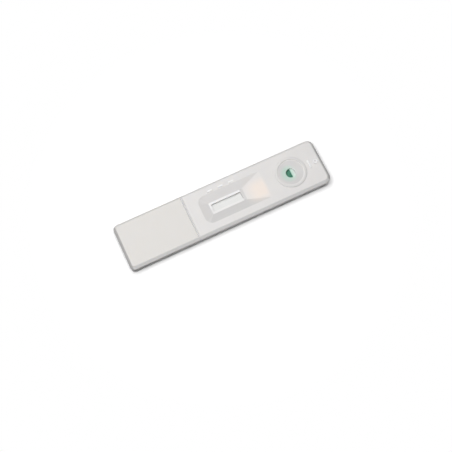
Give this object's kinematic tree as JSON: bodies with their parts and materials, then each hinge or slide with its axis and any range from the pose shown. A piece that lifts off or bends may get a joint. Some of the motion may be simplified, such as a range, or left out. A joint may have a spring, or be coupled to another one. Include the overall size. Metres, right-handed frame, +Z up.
{
  "type": "lateral flow cassette",
  "caption": "Flat moulded test cassette with a bevelled plate, a sloping window recess over a white membrane and a round sample port over a green pad.",
  "frame": {"origin": "centre of the underside, on the surface that the cassette lies on", "axes": "+X along the length towards the sample port, +Y across the width, +Z up out of the plate"},
  "size_m": [0.0988, 0.0222, 0.0061],
  "materials": {
    "case_plastic": "satin white moulding",
    "membrane": "fine matte",
    "green_pad": "dyed glass fibre",
    "white_pad": "fibrous",
    "wick": "thick absorbent paper",
    "card": "smooth sheet"
  },
  "bodies": {
    "root": {"upper_shell": "case_plastic", "lower_shell": "case_plastic", "absorbent_pad": "wick", "membrane": "membrane", "conjugate_pad": "green_pad", "sample_pad": "white_pad", "backing_card": "card"}
  },
  "joints": []
}
